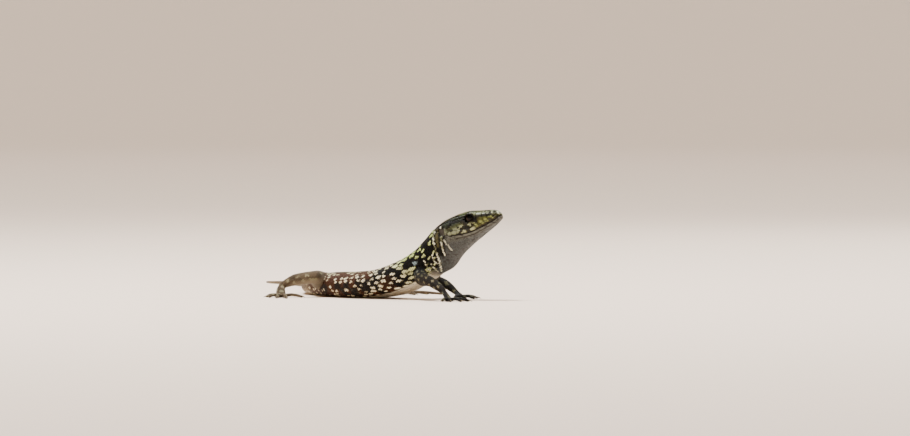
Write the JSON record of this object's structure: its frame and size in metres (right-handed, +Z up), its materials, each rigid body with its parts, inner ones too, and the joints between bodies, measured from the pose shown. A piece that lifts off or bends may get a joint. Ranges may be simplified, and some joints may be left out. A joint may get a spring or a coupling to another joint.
{
  "type": "life-size model of a wall lizard",
  "caption": "Wall lizard resting on the ground with head and neck raised, limbs spread and the long tapering tail curving away behind.",
  "frame": {"origin": "on the floor, at the middle of the belly's flat", "axes": "+X the way the trunk faces, +Y its left, +Z up"},
  "size_m": [0.1742, 0.0919, 0.0225],
  "materials": {
    "scales_olive": "satin plates of the head, olive with dark edges",
    "scales_spotted": "fine satin scales, black-brown with rows of pale cream-green spots",
    "throat_grey": "satin scales, grey with fine mottling",
    "limb_brown": "satin keeled scales, brown with pale spots",
    "eye": "wet gloss, near black with a thin bronze iris",
    "eardrum": "thin dull skin"
  },
  "bodies": {
    "root": {"head": "scales_olive", "lower_jaw": "throat_grey", "eye_left": "eye", "eye_right": "eye", "eardrum_left": "eardrum", "eardrum_right": "eardrum", "neck": "scales_spotted", "trunk": "scales_spotted", "tail_base": "limb_brown", "tail_front": "limb_brown", "tail_middle": "limb_brown", "tail_end": "limb_brown", "right_arm_upper": "limb_brown", "right_arm_forearm": "limb_brown", "right_arm_hand": "limb_brown", "right_leg_thigh": "limb_brown", "right_leg_shank": "limb_brown", "right_leg_foot": "limb_brown", "left_arm_upper": "limb_brown", "left_arm_forearm": "limb_brown", "left_arm_hand": "limb_brown", "left_leg_thigh": "limb_brown", "left_leg_shank": "limb_brown", "left_leg_foot": "limb_brown"}
  },
  "joints": []
}
